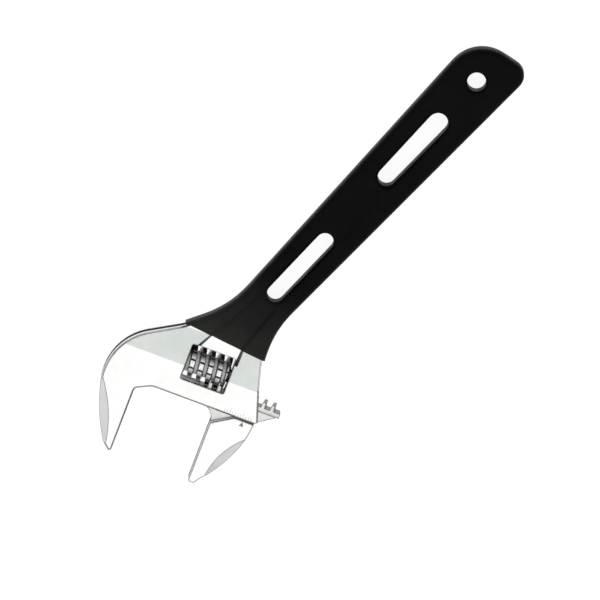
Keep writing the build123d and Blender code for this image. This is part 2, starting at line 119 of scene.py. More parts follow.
class Nodes:
    """Short calls that add nodes to one material."""

    def __init__(self, name):
        self.material = bpy.data.materials.new(name)
        self.material.use_nodes = True
        self.tree = self.material.node_tree
        self.shader = self.tree.nodes["Principled BSDF"]
        self.place = self.add("ShaderNodeTexCoord").outputs["Object"]

    def add(self, kind, **settings):
        node = self.tree.nodes.new(kind)
        for key, value in settings.items():
            setattr(node, key, value)
        return node

    def link(self, source, target):
        self.tree.links.new(source, target)

    def feed(self, socket, value):
        """Link an output to a socket, or set a plain value on it."""
        if isinstance(value, bpy.types.NodeSocket):
            self.link(value, socket)
        else:
            socket.default_value = value

    def stretched(self, scale, turn=0.0):
        """Coordinates scaled along three axes, after a turn about Z."""
        node = self.add("ShaderNodeMapping", vector_type="POINT")
        node.inputs["Rotation"].default_value = (0, 0, turn)
        node.inputs["Scale"].default_value = scale
        self.link(self.place, node.inputs["Vector"])
        return node.outputs["Vector"]

    def noise(self, scale, detail=4.0, roughness=0.55, place=None, distortion=0.0):
        node = self.add("ShaderNodeTexNoise")
        self.link(place or self.place, node.inputs["Vector"])
        node.inputs["Scale"].default_value = scale
        node.inputs["Detail"].default_value = detail
        node.inputs["Roughness"].default_value = roughness
        node.inputs["Distortion"].default_value = distortion
        return node.outputs["Fac"]

    def voronoi(self, scale, place=None):
        node = self.add("ShaderNodeTexVoronoi", feature="SMOOTH_F1")
        self.link(place or self.place, node.inputs["Vector"])
        node.inputs["Scale"].default_value = scale
        return node.outputs["Distance"]

    def ramp(self, value, stops):
        """A colour ramp. stops are (place, grey or colour)."""
        node = self.add("ShaderNodeValToRGB")
        self.link(value, node.inputs["Fac"])
        elements = node.color_ramp.elements
        while len(elements) < len(stops):
            elements.new(0.5)
        for element, (place, colour) in zip(elements, stops):
            element.position = place
            grey = isinstance(colour, (int, float))
            element.color = (colour, colour, colour, 1) if grey else (*colour, 1)
        return node.outputs["Color"]

    def remap(self, value, low, high, to_low, to_high):
        node = self.add("ShaderNodeMapRange")
        self.link(value, node.inputs["Value"])
        names = ("From Min", "From Max", "To Min", "To Max")
        for name, number in zip(names, (low, high, to_low, to_high)):
            node.inputs[name].default_value = number
        return node.outputs["Result"]

    def math(self, operation, a, b=0.0):
        node = self.add("ShaderNodeMath", operation=operation)
        self.feed(node.inputs[0], a)
        self.feed(node.inputs[1], b)
        return node.outputs[0]

    def mix(self, factor, a, b, blend="MIX"):
        node = self.add("ShaderNodeMix", data_type="RGBA", blend_type=blend)
        self.feed(node.inputs["Factor"], factor)
        self.feed(node.inputs["A"], a)
        self.feed(node.inputs["B"], b)
        return node.outputs["Result"]

    def bump(self, height, strength, distance, after=None):
        node = self.add("ShaderNodeBump")
        node.inputs["Strength"].default_value = strength
        node.inputs["Distance"].default_value = distance
        self.link(height, node.inputs["Height"])
        if after:
            self.link(after, node.inputs["Normal"])
        return node.outputs["Normal"]

    def crisp_edges(self, radius):
        """1 along crisp edges of the shape, fading to 0 on the open faces beside them."""
        bevel = self.add("ShaderNodeBevel", samples=6)
        bevel.inputs["Radius"].default_value = radius
        geometry = self.add("ShaderNodeNewGeometry")
        agree = self.add("ShaderNodeVectorMath", operation="DOT_PRODUCT")
        self.link(bevel.outputs["Normal"], agree.inputs[0])
        self.link(geometry.outputs["Normal"], agree.inputs[1])
        return self.remap(agree.outputs["Value"], OPEN_FACE, CRISP_EDGE, 0.0, 1.0)

    def height(self):
        """How far a point is from the middle plane."""
        separate = self.add("ShaderNodeSeparateXYZ")
        self.link(self.place, separate.inputs[0])
        return self.math("ABSOLUTE", separate.outputs["Z"])

    def finish(self, **sockets):
        """Feed the shader's sockets by name, with _ for a space."""
        for name, value in sockets.items():
            self.feed(self.shader.inputs[name.replace("_", " ")], value)
        return self.material


# ---- steel -----------------------------------------------------------------------------------
BRUSH_TURN = -math.atan2(U.y, U.x)
FINE_GRAIN = (250, 5200, 5200)
PITS = 0.25
# the colour of the painted edge reflection, and how much of it is laid on
EDGE_DARK_REFLECTION = (0.03, 0.03, 0.03, 1)
EDGE_DARK_REFLECTION_SHARE = 0.9
WHITE = (1, 1, 1, 1)
# a side wall's darker band at mid-height, partly the forging's band and partly painted shade for the
# dark the wall reflects: its half width fades out between these heights
FORGED_AND_SHADED_BAND = (0.0016, 0.0028)
FORGED_AND_SHADED_TINT = (0.10, 0.10, 0.10, 1)


def steel(name, dark, light, rough, grain=FINE_GRAIN, grain_depth=0.000012, line=0.5, middle=None):
    """Plated or ground steel: a cloudy tone, fine brushed grain along U, specks and rubbed spots.

    line is the width of the dark line painted on its crisp edges, a painted reflection of the dark
    surroundings in their rounded edges, and middle the shade of a darker band at mid-height of a
    side wall, partly the forging's band and partly painted shade.
    """
    n = Nodes(name)
    grain_place = n.stretched(grain, BRUSH_TURN)
    streaks = n.noise(1.0, 5.0, 0.62, grain_place)
    cloud = n.noise(70.0, 5.0, 0.6, distortion=0.4)
    speck = n.noise(2600.0, 2.0, 0.5)
    tone = n.mix(n.remap(cloud, 0.3, 0.7, 0.0, 1.0), dark, light)
    streak_tone = n.ramp(streaks, [(0.25, 0.90), (0.5, 1.0), (0.8, 1.0)])
    tone = n.mix(0.6, tone, streak_tone, "MULTIPLY")
    pit_tone = n.ramp(speck, [(0.22, 0.72), (0.34, 1.0)])
    tone = n.mix(PITS, tone, pit_tone, "MULTIPLY")
    # painted reflection: a dark line along crisp edges stands for the dark surroundings that rounded
    # edges reflect
    lines = n.math("MULTIPLY", n.crisp_edges(line * MM), EDGE_DARK_REFLECTION_SHARE)
    tone = n.mix(lines, tone, EDGE_DARK_REFLECTION)
    smudge = n.noise(160.0, 6.0, 0.65, distortion=0.8)
    rubbing_and_side_shade = n.remap(smudge, 0.3, 0.75, *rough)
    roughness = n.math("ADD", rubbing_and_side_shade, n.remap(streaks, 0.2, 0.8, -0.03, 0.03))
    soft = n.bump(n.noise(420.0, 3.0, 0.5), 0.10, 0.00003)
    normal = n.bump(streaks, 0.35, grain_depth, soft)
    if middle:
        # painted shade, partly real: the side wall is darker, with a darker specular tint, in a band
        # at mid-height
        shoulder = n.remap(n.height(), *FORGED_AND_SHADED_BAND, 0.0, 1.0)
        tone = n.mix(shoulder, middle, tone)
        n.finish(Specular_Tint=n.mix(shoulder, FORGED_AND_SHADED_TINT, WHITE))
    return n.finish(Base_Color=tone, Metallic=1.0, Roughness=roughness, Normal=normal)


def axis_distance(n):
    """How far a point is from the worm's axis, in millimetres."""
    from_axis = n.add("ShaderNodeVectorMath", operation="SUBTRACT")
    n.link(n.place, from_axis.inputs[0])
    from_axis.inputs[1].default_value = Vector(SPIN["pos_m"])
    across = n.add("ShaderNodeVectorMath", operation="CROSS_PRODUCT")
    n.link(from_axis.outputs[0], across.inputs[0])
    across.inputs[1].default_value = U
    length = n.add("ShaderNodeVectorMath", operation="LENGTH")
    n.link(across.outputs[0], length.inputs[0])
    return n.math("MULTIPLY", length.outputs["Value"], 1 / MM)


# the worm's root and crest as seen by its material, in millimetres from the axis
WORM_ROOT = 4.0
WORM_CREST = 6.4


def worm_steel():
    """Bright worn lands; flanks painted near-black as shade in the grooves and darker where they
    face sideways, as painted shade under the window's rim; a painted highlight along the root.
    """
    n = Nodes("worm_turned_steel")
    reach = n.remap(axis_distance(n), WORM_ROOT, WORM_CREST, 0.0, 1.0)
    # painted shade: the flanks below the crests go near-black, as shade in the grooves
    painted_light_by_depth = n.ramp(reach, [(0.0, 0.0), (0.82, 0.03), (0.90, 0.35), (0.95, 0.90)])
    upright = n.math("DIVIDE", n.math("MULTIPLY", n.height(), 1 / MM), axis_distance(n))
    # painted shade: darker where the worm faces sideways, under the window's rim
    rubbing_and_side_shade = n.ramp(n.remap(upright, 0.82, 0.97, 0.0, 1.0), [(0.0, 0.20), (1.0, 1.0)])
    painted_light_by_depth = n.mix(1.0, painted_light_by_depth, rubbing_and_side_shade, "MULTIPLY")
    # painted highlight: a bright stripe along the root
    root = n.ramp(reach, [(0.0, 1.0), (0.08, 1.0), (0.12, 0.0)])
    painted_light_by_depth = n.mix(root, painted_light_by_depth, (0.96, 0.96, 0.95, 1))
    # painted shade along the creases low in the grooves
    corners = n.math("MULTIPLY", n.crisp_edges(0.50 * MM), n.remap(reach, 0.5, 0.85, 1.0, 0.0))
    painted_light_by_depth = n.mix(corners, painted_light_by_depth, (0.015, 0.015, 0.015, 1))
    grime = n.ramp(n.noise(900.0, 5.0, 0.6), [(0.30, 0.62), (0.62, 1.0)])
    tone = n.mix(0.75, painted_light_by_depth, grime, "MULTIPLY")
    turned = n.noise(1.0, 4.0, 0.6, n.stretched((6000, 300, 300), BRUSH_TURN))
    tone = n.mix(0.35, tone, n.ramp(turned, [(0.3, 0.8), (0.6, 1.0)]), "MULTIPLY")
    roughness = n.remap(n.noise(700.0, 4.0), 0.3, 0.7, 0.24, 0.42)
    normal = n.bump(turned, 0.4, 0.00001)
    # the root's painted highlight is left not metallic
    metallic = n.remap(reach, 0.08, 0.12, 0.0, 1.0)
    return n.finish(Base_Color=tone, Metallic=metallic, Roughness=roughness, Normal=normal)


# ---- vinyl -----------------------------------------------------------------------------------
GRIP_BORDER_X = 0.131
SHEEN_FROM_X = 0.100


def vinyl():
    """Near-black dipped vinyl: soft sheen, fine orange peel, dust specks, and a painted sheen that
    lightens it towards the head.
    """
    n = Nodes("grip_dipped_vinyl")
    separate = n.add("ShaderNodeSeparateXYZ")
    n.link(n.place, separate.inputs[0])
    # painted sheen: the vinyl lightens towards the head, for the lighter reflection seen there
    head_sheen = n.remap(separate.outputs["X"], SHEEN_FROM_X, GRIP_BORDER_X, 0.0, 1.0)
    base = n.mix(head_sheen, (0.0016, 0.0018, 0.0017, 1), (0.026, 0.028, 0.025, 1))
    cloud = n.noise(110.0, 5.0, 0.6, distortion=0.5)
    base = n.mix(n.remap(cloud, 0.35, 0.75, 0.0, 0.5), base, (0.0045, 0.0048, 0.0044, 1))
    dust = n.ramp(n.noise(1500.0, 3.0, 0.6), [(0.60, 0.0), (0.78, 0.006)])
    base = n.mix(1.0, base, dust, "ADD")
    peel = n.noise(900.0, 3.0, 0.55)
    skin = n.voronoi(2300.0)
    roughness = n.remap(n.noise(210.0, 5.0, 0.62), 0.3, 0.7, 0.42, 0.58)
    first = n.bump(peel, 0.35, 0.00006)
    normal = n.bump(skin, 0.22, 0.00003, first)
    n.shader.inputs["Specular IOR Level"].default_value = 0.05
    return n.finish(Base_Color=base, Roughness=roughness, Normal=normal)


def paint(name, colour, worn):
    """Thin filled paint in a mark, a little rubbed."""
    n = Nodes(name)
    rub = n.ramp(n.noise(4200.0, 4.0, 0.6), [(0.36, 0.0), (0.60, 1.0)])
    base = n.mix(rub, (*worn, 1), (*colour, 1))
    roughness = n.remap(n.noise(2500.0, 3.0), 0.3, 0.7, 0.42, 0.62)
    normal = n.bump(n.noise(5200.0, 2.0), 0.3, 0.00001)
    return n.finish(Base_Color=base, Roughness=roughness, Normal=normal)


def floor_material():
    """Pale lit studio board with a hardly visible tooth."""
    n = Nodes("studio_board")
    tooth = n.noise(900.0, 4.0, 0.6)
    base = n.mix(n.remap(tooth, 0.3, 0.7, 0.0, 1.0), (0.24, 0.24, 0.24, 1), (0.28, 0.28, 0.28, 1))
    n.shader.inputs["Specular IOR Level"].default_value = 0.0
    n.shader.inputs["Emission Color"].default_value = (1, 1, 1, 1)
    n.shader.inputs["Emission Strength"].default_value = 0.90
    return n.finish(Base_Color=base, Roughness=0.9, Normal=n.bump(tooth, 0.1, 0.00005))


# ---- which part of a CAD node gets which steel -----------------------------------------------
FACET_TILT = math.radians(32.0)
FIXED_FACET = (U * -0.915 + W * 0.402).normalized()
MOVING_FACET = (U * 0.893 + W * 0.451).normalized()
# the regions' limits, in millimetres along U and W and out from the middle plane
WINDOW_MARGIN = 1.3
HEEL_END = 37.5
BODY_HEEL_W = (-0.8, 0.3)
JAW_HEEL_W = (0.2, 1.0)
SLOPE_START = -12.0
BACK_U = -8.0
BACK_W = 5.0
CHANNEL_U = (-9.0, 43.0)
CHANNEL_W = (-9.5, 0.5)
CHANNEL_HALF = 4.9
WEB_U = (8.0, 38.0)
WEB_START = -27.0
WEB_HALF = 3.2
NECK_HALF = 4.0
# how upright a face's normal is: level, chamfered or on a side wall
LEVEL = 0.9993
SIDE = 0.9
STEEP = 0.3


def is_facet(normal, outward):
    """True on the hollow-ground lens on a jaw's outer edge."""
    side = Z if normal.z > 0 else -Z
    axis = outward * math.cos(FACET_TILT) - side * math.sin(FACET_TILT)
    lift = outward * math.sin(FACET_TILT) + side * math.cos(FACET_TILT)
    return abs(normal.dot(axis)) < 0.03 and normal.dot(lift) > 0.93


def window_box():
    """The worm window's reach in U and W, found from the worm's own size."""
    worm = NODES["worm"].data
    reach = np.array([head_coords(v.co)[:2] for v in worm.vertices])
    return reach.min(0) - WINDOW_MARGIN, reach.max(0) + WINDOW_MARGIN


def within(value, limits):
    return limits[0] < value < limits[1]


def body_region(face, window):
    """0 ground face, 1 sloping face, 2 sides, 3 jaw facet, 4 inside the head, 5 broken edges."""
    u, w, z = head_coords(face.center)
    upright = abs(face.normal.z)
    low, high = window
    in_window = low[0] < u < high[0] and low[1] < w < high[1]
    in_channel = abs(z) < CHANNEL_HALF and within(w, CHANNEL_W) and within(u, CHANNEL_U)
    if is_facet(face.normal, FIXED_FACET) and u < 0:
        return 3
    if u > HEEL_END and within(w, BODY_HEEL_W) and upright > STEEP:
        return 0
    if upright < 0.5 and (in_window or in_channel):
        return 4
    if upright < SIDE:
        if abs(z) > WEB_HALF and WEB_START < w < SLOPE_START and within(u, WEB_U):
            return 4
        if upright > STEEP and w > SLOPE_START:
            return 0 if u < BACK_U and w < BACK_W else 5
        return 2
    return 1 if upright < LEVEL else 0


def jaw_region(face):
    """0 ground face, 1 neck and rail, 2 sides, 3 jaw facet, 4 flanks of the rail, 5 broken edges."""
    u, w, z = head_coords(face.center)
    upright = abs(face.normal.z)
    if is_facet(face.normal, MOVING_FACET) and w > 0.5:
        return 3
    if u > HEEL_END and within(w, JAW_HEEL_W) and abs(z) > NECK_HALF:
        return 0
    if w < JAW_HEEL_W[0] or abs(z) < NECK_HALF and upright > SIDE:
        return 1 if upright > 0.6 else 4
    if upright < SIDE:
        return 5 if upright > STEEP else 2
    return 0


def paint_node(node, materials, region=None):
    """Give a CAD node its materials, by region where it has several."""
    node.data.materials.clear()
    for material in materials:
        node.data.materials.append(material)
    for face in node.data.polygons:
        face.material_index = region(face) if region else 0


# ---- the grip --------------------------------------------------------------------------------
GRIP_WALL = 0.85
EDGE_ROUND = 2.6
SLOT_ROUND = 1.9
HOLE_ROUND = 1.3
BORDER_ROUND = 0.30
STEEL_HALF = 4.35
THINNEST_SHARE = 0.35
# the mesh: its spacing, how near its points come to the rings, and the steps of a rounded edge
SPACING = 0.65
OPENING_SPACING = 0.45
ROW_SHARE = 0.866
RING_CLEARANCE = 0.35
BORDER_CLEARANCE = 0.30
BORDER_CUT = 0.12
HANDLE_MIDDLE = np.array([60.0, 0.0])
QUARTER = np.linspace(0, math.pi / 2, 9)
SIDE_STEPS = 6
# the crown across the sleeve: where it starts and its reach each way, and its drop
CROWN_AT = 6.9
CROWN_REACH = 3.2
CROWN_DROP = 0.10
# the dish round the hang hole
DISH_RADIUS = 2.3
DISH_DROP = 0.38
# the shallow panel between the slots: its two ends, its sides and its drop
PANEL_REAR = (50.5, 54.5)
PANEL_FRONT = (73.0, 77.0)
PANEL_SIDE = (3.4, 5.2)
PANEL_DROP = 0.42
# the sunk web from the front slot to the head: its start, its drop, the valleys and the crown
WEB_BEGIN = (106.0, 112.5)
WEB_DROP = 0.62
VALLEY_DROP = 0.34
VALLEY_WIDTH = 0.55
WEB_CROWN = 0.26
VALLEY_SHIFT = 0.25
VALLEY_REACH = 1.5
# the lines of the two valleys: x, lower y, upper y
VALLEYS = (
    (106.0, -3.6, 3.8),
    (112.0, -3.65, 3.85),
    (120.0, -4.2, 4.4),
    (127.35, -5.2, 4.97),
    (132.0, -6.1, 5.6),
)


def section_loops(node):
    """The closed outlines of a node's cut at z = 0, in millimetres, as arrays of points."""
    bm = bmesh.new()
    bm.from_mesh(node.data)
    bmesh.ops.remove_doubles(bm, verts=bm.verts, dist=1e-6)
    geometry = bm.verts[:] + bm.edges[:] + bm.faces[:]
    cut = bmesh.ops.bisect_plane(bm, geom=geometry, plane_co=(0, 0, 0), plane_no=(0, 0, 1))
    edges = [g for g in cut["geom_cut"] if isinstance(g, bmesh.types.BMEdge)]
    beside = {}
    for edge in edges:
        a, b = (tuple(np.round(np.array(v.co) / MM, 4)) for v in edge.verts)
        if a != b:
            beside.setdefault(a, []).append(b)
            beside.setdefault(b, []).append(a)
    bm.free()
    loops, seen = [], set()
    for start in sorted(beside):
        if start in seen:
            continue
        loop, before, here = [start], None, start
        while True:
            seen.add(here)
            others = [p for p in beside[here] if p != before]
            onward = [p for p in others if p not in seen or p == start and len(loop) > 2]
            if not onward or onward[0] == start:
                break
            before, here = here, onward[0]
            loop.append(here)
        loops.append(np.array(loop)[:, :2])
    return loops


def length_of(points, closed=False):
    pairs = np.diff(np.vstack([points, points[:1]]) if closed else points, axis=0)
    return np.hypot(*pairs.T).sum()


def resample(points, spacing, closed=False):
    """Evenly spaced points along a line."""
    line = np.vstack([points, points[:1]]) if closed else points
    along = np.concatenate([[0], np.cumsum(np.hypot(*np.diff(line, axis=0).T))])
    count = max(8, round(along[-1] / spacing))
    at = np.linspace(0, along[-1], count + 1)
    if closed:
        at = at[:-1]
    return np.column_stack([np.interp(at, along, line[:, k]) for k in (0, 1)])


def smoothed(points, closed, times):
    """Soften the line's small corners, keeping open ends in place."""
    for _ in range(times):
        before, after = np.roll(points, 1, 0), np.roll(points, -1, 0)
        new = (before + 2 * points + after) / 4
        if not closed:
            new[0], new[-1] = points[0], points[-1]
        points = new
    return points


def outer_line(loop):
    """The sleeve's outer outline: the longest run between the four square corners of its cut."""
    before = loop - np.roll(loop, 1, 0)
    after = np.roll(loop, -1, 0) - loop
    cross = before[:, 0] * after[:, 1] - before[:, 1] * after[:, 0]
    turn = np.abs(np.arctan2(cross, (before * after).sum(1)))
    corners = sorted(np.argsort(turn)[-4:])
    runs = []
    for a, b in zip(corners, corners[1:] + [corners[0] + len(loop)]):
        runs.append(loop[np.arange(a, b + 1) % len(loop)])
    return max(runs, key=length_of)


def side_normals(points, closed):
    """Unit normals to the left of the way along the line."""
    if closed:
        along = np.roll(points, -1, 0) - np.roll(points, 1, 0)
    else:
        along = np.gradient(points, axis=0)
    along /= np.hypot(*along.T)[:, None]
    return np.column_stack([-along[:, 1], along[:, 0]])


def signed_area(points):
    x, y = points.T
    return 0.5 * np.sum(x * np.roll(y, -1) - np.roll(x, -1) * y)


def inside(points, loop):
    """For each point, whether it is inside the closed loop."""
    x, y = points.T
    result = np.zeros(len(points), bool)
    for (x1, y1), (x2, y2) in zip(loop, np.roll(loop, -1, 0)):
        crosses = (y1 > y) != (y2 > y)
        if y1 != y2:
            result ^= crosses & (x < (x2 - x1) * (y - y1) / (y2 - y1) + x1)
    return result


def distance_to(points, line, closed=False):
    """The distance from each point to a line of short segments."""
    a = line if closed else line[:-1]
    b = np.roll(line, -1, 0) if closed else line[1:]
    best = np.full(len(points), 1e9)
    for start, end in zip(a, b):
        d = end - start
        t = np.clip(((points - start) @ d) / (d @ d), 0, 1)
        best = np.minimum(best, np.hypot(*(points - start - t[:, None] * d).T))
    return best


def round_over(distance, radius):
    """How far a rounded edge of that radius drops at each distance from it."""
    short = np.clip(radius - distance, 0, radius)
    return radius - np.sqrt(radius**2 - short**2)


def smooth_step(value, low, high):
    t = np.clip((value - low) / (high - low), 0, 1)
    return t * t * (3 - 2 * t)


class Grip:
    """The dipped sleeve's skin, worked out from the CAD grip's own cut and height."""

    def __init__(self, node):
        self.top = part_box("grip")[1].z / MM
        loops = sorted(section_loops(node), key=lambda loop: -length_of(loop, True))
        line = outer_line(loops[0])
        if line[0][1] > line[-1][1]:
            line = line[::-1]
        self.ends = line[0].copy(), line[-1].copy()
        self.line = self.lengthened(line)
        self.openings = self.visible_openings(loops[1:])
        ends = self.ends[1] - self.ends[0]
        ends /= np.hypot(*ends)
        self.border_normal = np.array([-ends[1], ends[0]])
        if (np.zeros(2) - self.ends[0]) @ self.border_normal < 0:
            self.border_normal = -self.border_normal

    def lengthened(self, line):
        """The outline, run on past the border so that its offsets can be cut there."""
        first = line[0] + (line[0] - line[1]) / np.hypot(*(line[0] - line[1])) * 5
        last = line[-1] + (line[-1] - line[-2]) / np.hypot(*(line[-1] - line[-2])) * 5
        return smoothed(resample(np.vstack([first, line, last]), SPACING), False, 4)

    def visible_openings(self, loops):
        """The inner line of each ring round a hole or slot, nearest the hang end first."""
        loops = sorted(loops, key=lambda loop: loop[:, 0].mean())
        found = []
        for pair in zip(loops[0::2], loops[1::2]):
            small = min(pair, key=lambda loop: length_of(loop, True))
            small = smoothed(resample(small, OPENING_SPACING, True), True, 2)
            found.append(small if signed_area(small) > 0 else small[::-1])
        return found

    def beyond_border(self, points):
        """How far each point is behind the border, on the handle's side."""
        return (points - self.ends[0]) @ self.border_normal

    def cut_at_border(self, line):
        """The stretch of a line behind the border, with its ends on the border."""
        s = self.beyond_border(line)
        keep = np.flatnonzero(s > BORDER_CUT)
        first, last = keep[0], keep[-1]
        ends = []
        for inner, outer in ((first, first - 1), (last, last + 1)):
            t = s[inner] / (s[inner] - s[outer])
            ends.append(line[inner] + t * (line[outer] - line[inner]))
        return np.vstack([ends[0], line[first : last + 1], ends[1]])

    def height(self, points, d_out, d_open, which):
        """Half the sleeve's thickness at each point."""
        x, y = points.T
        z = np.full(len(points), self.top)
        z -= round_over(d_out, EDGE_ROUND)
        rounds = np.array([HOLE_ROUND, SLOT_ROUND, SLOT_ROUND])[which]
        z -= round_over(d_open, rounds)
        z -= CROWN_DROP * np.clip((np.abs(y) - CROWN_AT) / CROWN_REACH, -1.6, 1.2) ** 2 * (d_out > 0)
        z -= DISH_DROP * np.where(which == 0, np.exp(-((d_open / DISH_RADIUS) ** 2)), 0)
        between = smooth_step(x, *PANEL_REAR) * (1 - smooth_step(x, *PANEL_FRONT))
        z -= PANEL_DROP * between * (1 - smooth_step(np.abs(y), *PANEL_SIDE))
        z -= self.web_drop(x, y)
        z -= BORDER_ROUND * (1 - smooth_step(self.beyond_border(points), 0.0, 2 * BORDER_ROUND))
        return z

    def web_drop(self, x, y):
        """The sunk web from the front slot to the head, with a deeper valley along each side."""
        lines = self.valley_guides()
        lower = np.interp(x, *lines[0].T) - VALLEY_SHIFT
        upper = np.interp(x, *lines[1].T) + VALLEY_SHIFT
        inward = np.minimum(y - lower, upper - y)
        floor = WEB_DROP * smooth_step(inward, -1.0, 0.25)
        valley = VALLEY_DROP * np.exp(-(((inward - VALLEY_SHIFT) / VALLEY_WIDTH) ** 2))
        middle = (upper - lower) / 2
        crown = WEB_CROWN * smooth_step(inward / middle, 0.15, 1.0)
        return smooth_step(x, *WEB_BEGIN) * (floor + valley - crown)

    def rings(self):
        """Lines that follow the outline and the openings, each with its distance from them."""
        inward = side_normals(self.line, False)
        sample = len(self.line) // 4
        if (HANDLE_MIDDLE - self.line[sample]) @ inward[sample] < 0:
            inward = -inward
        shifts = [inward * EDGE_ROUND * (1 - math.cos(t)) for t in QUARTER]
        outer = [self.cut_at_border(self.line + shift) for shift in shifts]
        inner = []
        for k, opening in enumerate(self.openings):
            radius = HOLE_ROUND if k == 0 else SLOT_ROUND
            outward = -side_normals(opening, True)
            inner.append([opening + outward * radius * (1 - math.cos(t)) for t in QUARTER])
        return outer, inner

    def skin(self):
        """Points and triangles of the sleeve's upper face, with its outer and inner edges."""
        outer, inner = self.rings()
        points, edges = [], []

        def add(line, closed):
            start = len(points)
            points.extend(map(tuple, line))
            count = len(line)
            edges.extend((start + i, start + i + 1) for i in range(count - 1))
            if closed:
                edges.append((start + count - 1, start))
            return list(range(start, start + count))

        outer_ids = [add(line, False) for line in outer]
        inner_ids = [[add(line, True) for line in group] for group in inner]
        starts, ends = [ids[0] for ids in outer_ids], [ids[-1] for ids in outer_ids]
        across = resample(np.array([points[starts[-1]], points[ends[-1]]]), SPACING)[1:-1]
        middle_ids = list(range(len(points), len(points) + len(across)))
        points.extend(map(tuple, across))
        border = starts + middle_ids + ends[::-1]
        edges.extend(zip(border, border[1:]))
        grid = self.grid(outer[-1], [group[-1] for group in inner])
        points.extend(map(tuple, grid))
        made = delaunay_2d_cdt([Vector(p) for p in points], edges, [], 0, 1e-5)
        flat = np.array([tuple(v) for v in made[0]])
        source = [ids[0] if ids else -1 for ids in made[3]]
        triangles = np.array([f for f in made[2] if len(f) == 3])
        centres = flat[triangles].mean(1)
        keep = inside(centres, outer[0])
        for opening in self.openings:
            keep &= ~inside(centres, opening)
        back = {s: i for i, s in enumerate(source) if s >= 0}
        rim = [back[i] for i in outer_ids[0]]
        holes = [[back[i] for i in group[0]] for group in inner_ids]
        ring_of = {}
        for t, ids in zip(QUARTER, outer_ids):
            for i in ids:
                ring_of[back[i]] = EDGE_ROUND * (1 - math.cos(t))
        return flat, triangles[keep], rim, holes, ring_of

    def grid(self, last_ring, opening_rings):
        """Evenly spread points inside the rings."""
        low, high = last_ring.min(0), last_ring.max(0)
        rows = np.arange(low[1], high[1], SPACING * ROW_SHARE)
        points = []
        for row, y in enumerate(rows):
            xs = np.arange(low[0] + (row % 2) * SPACING / 2, high[0], SPACING)
            points.append(np.column_stack([xs, np.full(len(xs), y)]))
        points = np.vstack(points)
        guides = self.valley_guides()
        for line in guides:
            points = points[distance_to(points, line) > VALLEY_REACH + BORDER_CLEARANCE]
        points = np.vstack([points, self.valley_points(guides)])
        points = points[inside(points, last_ring)]
        points = points[self.beyond_border(points) > BORDER_CLEARANCE]
        points = points[distance_to(points, last_ring) > RING_CLEARANCE]
        for ring in opening_rings:
            points = points[~inside(points, ring)]
            points = points[distance_to(points, ring, True) > RING_CLEARANCE]
        return points

    def valley_guides(self):
        """The bottom line of each valley beside the web."""
        at, low, high = np.array(VALLEYS).T
        xs = np.arange(at[0], at[-1], 0.5)
        lower = np.column_stack([xs, np.interp(xs, at, low) + VALLEY_SHIFT])
        upper = np.column_stack([xs, np.interp(xs, at, high) - VALLEY_SHIFT])
        return smoothed(lower, False, 6), smoothed(upper, False, 6)

    def valley_points(self, lines):
        """Rows of points that run along both valleys, close together across them."""
        rows = []
        for line in lines:
            normals = side_normals(line, False)
            for shift in np.linspace(-VALLEY_REACH, VALLEY_REACH, 11):
                rows.append(line + normals * shift)
        return np.vstack(rows)

    def build(self):
        """The sleeve as one smooth skin: both faces and the round walls between them."""
        flat, triangles, rim, holes, ring_of = self.skin()
        height = self.skin_height(flat, ring_of)
        used = np.unique(triangles)
        new_id = -np.ones(len(flat), int)
        new_id[used] = np.arange(len(used))
        upper = np.column_stack([flat, height])[used]
        lower = np.column_stack([flat, -height])[used]
        vertices = np.vstack([upper, lower]) * MM
        faces = face_pairs(flat[used], new_id[triangles])
        for ids, closed in [(rim, False)] + [(hole, True) for hole in holes]:
            vertices = add_side(vertices, faces, new_id[ids], len(used), closed)
        return sleeve_object(vertices, faces)

    def skin_height(self, flat, ring_of):
        """The height of each of the skin's points."""
        d_out = distance_to(flat, self.line)
        for i, d in ring_of.items():
            d_out[i] = d
        d_each = np.array([distance_to(flat, opening, True) for opening in self.openings])
        return self.height(flat, d_out, d_each.min(0), d_each.argmin(0))


def face_pairs(flat, triangles):
    """Each triangle on the upper face, with its mirror image on the lower face."""
    half = len(flat)
    faces = []
    for a, b, c in triangles:
        (ax, ay), (bx, by), (cx, cy) = flat[a], flat[b], flat[c]
        if (bx - ax) * (cy - ay) - (by - ay) * (cx - ax) < 0:
            b, c = c, b
        faces.append((a, b, c))
        faces.append((a + half, c + half, b + half))
    return faces


def add_side(vertices, faces, ids, half, closed):
    """Join the two faces along one edge, and return the vertices with those of the new wall."""
    start = len(vertices)
    above, below = vertices[ids], vertices[ids + half]
    columns = [ids]
    extra = []
    for k in range(1, SIDE_STEPS):
        extra.append(above + (below - above) * (k / SIDE_STEPS))
        columns.append(np.arange(start, start + len(ids)))
        start += len(ids)
    columns.append(ids + half)
    for upper, lower in zip(columns, columns[1:]):
        for i in range(len(ids) if closed else len(ids) - 1):
            j = (i + 1) % len(ids)
            faces.append((upper[i], lower[i], lower[j], upper[j]))
    return np.vstack([vertices] + extra)


def sleeve_object(vertices, faces):
    """The sleeve's object, its faces all facing out."""
    mesh = bpy.data.meshes.new("grip_sleeve")
    mesh.from_pydata([tuple(v) for v in vertices], [], [tuple(int(i) for i in f) for f in faces])
    mesh.validate()
    bm = bmesh.new()
    bm.from_mesh(mesh)
    bmesh.ops.remove_doubles(bm, verts=bm.verts, dist=2e-6)
    bmesh.ops.recalc_face_normals(bm, faces=bm.faces)
    if sum(f.normal.z * f.calc_center_median().z for f in bm.faces) < 0:
        bmesh.ops.reverse_faces(bm, faces=bm.faces)
    bm.to_mesh(mesh)
    bm.free()
    grip = bpy.data.objects.new("grip_sleeve", mesh)
    bpy.context.scene.collection.objects.link(grip)
    return grip


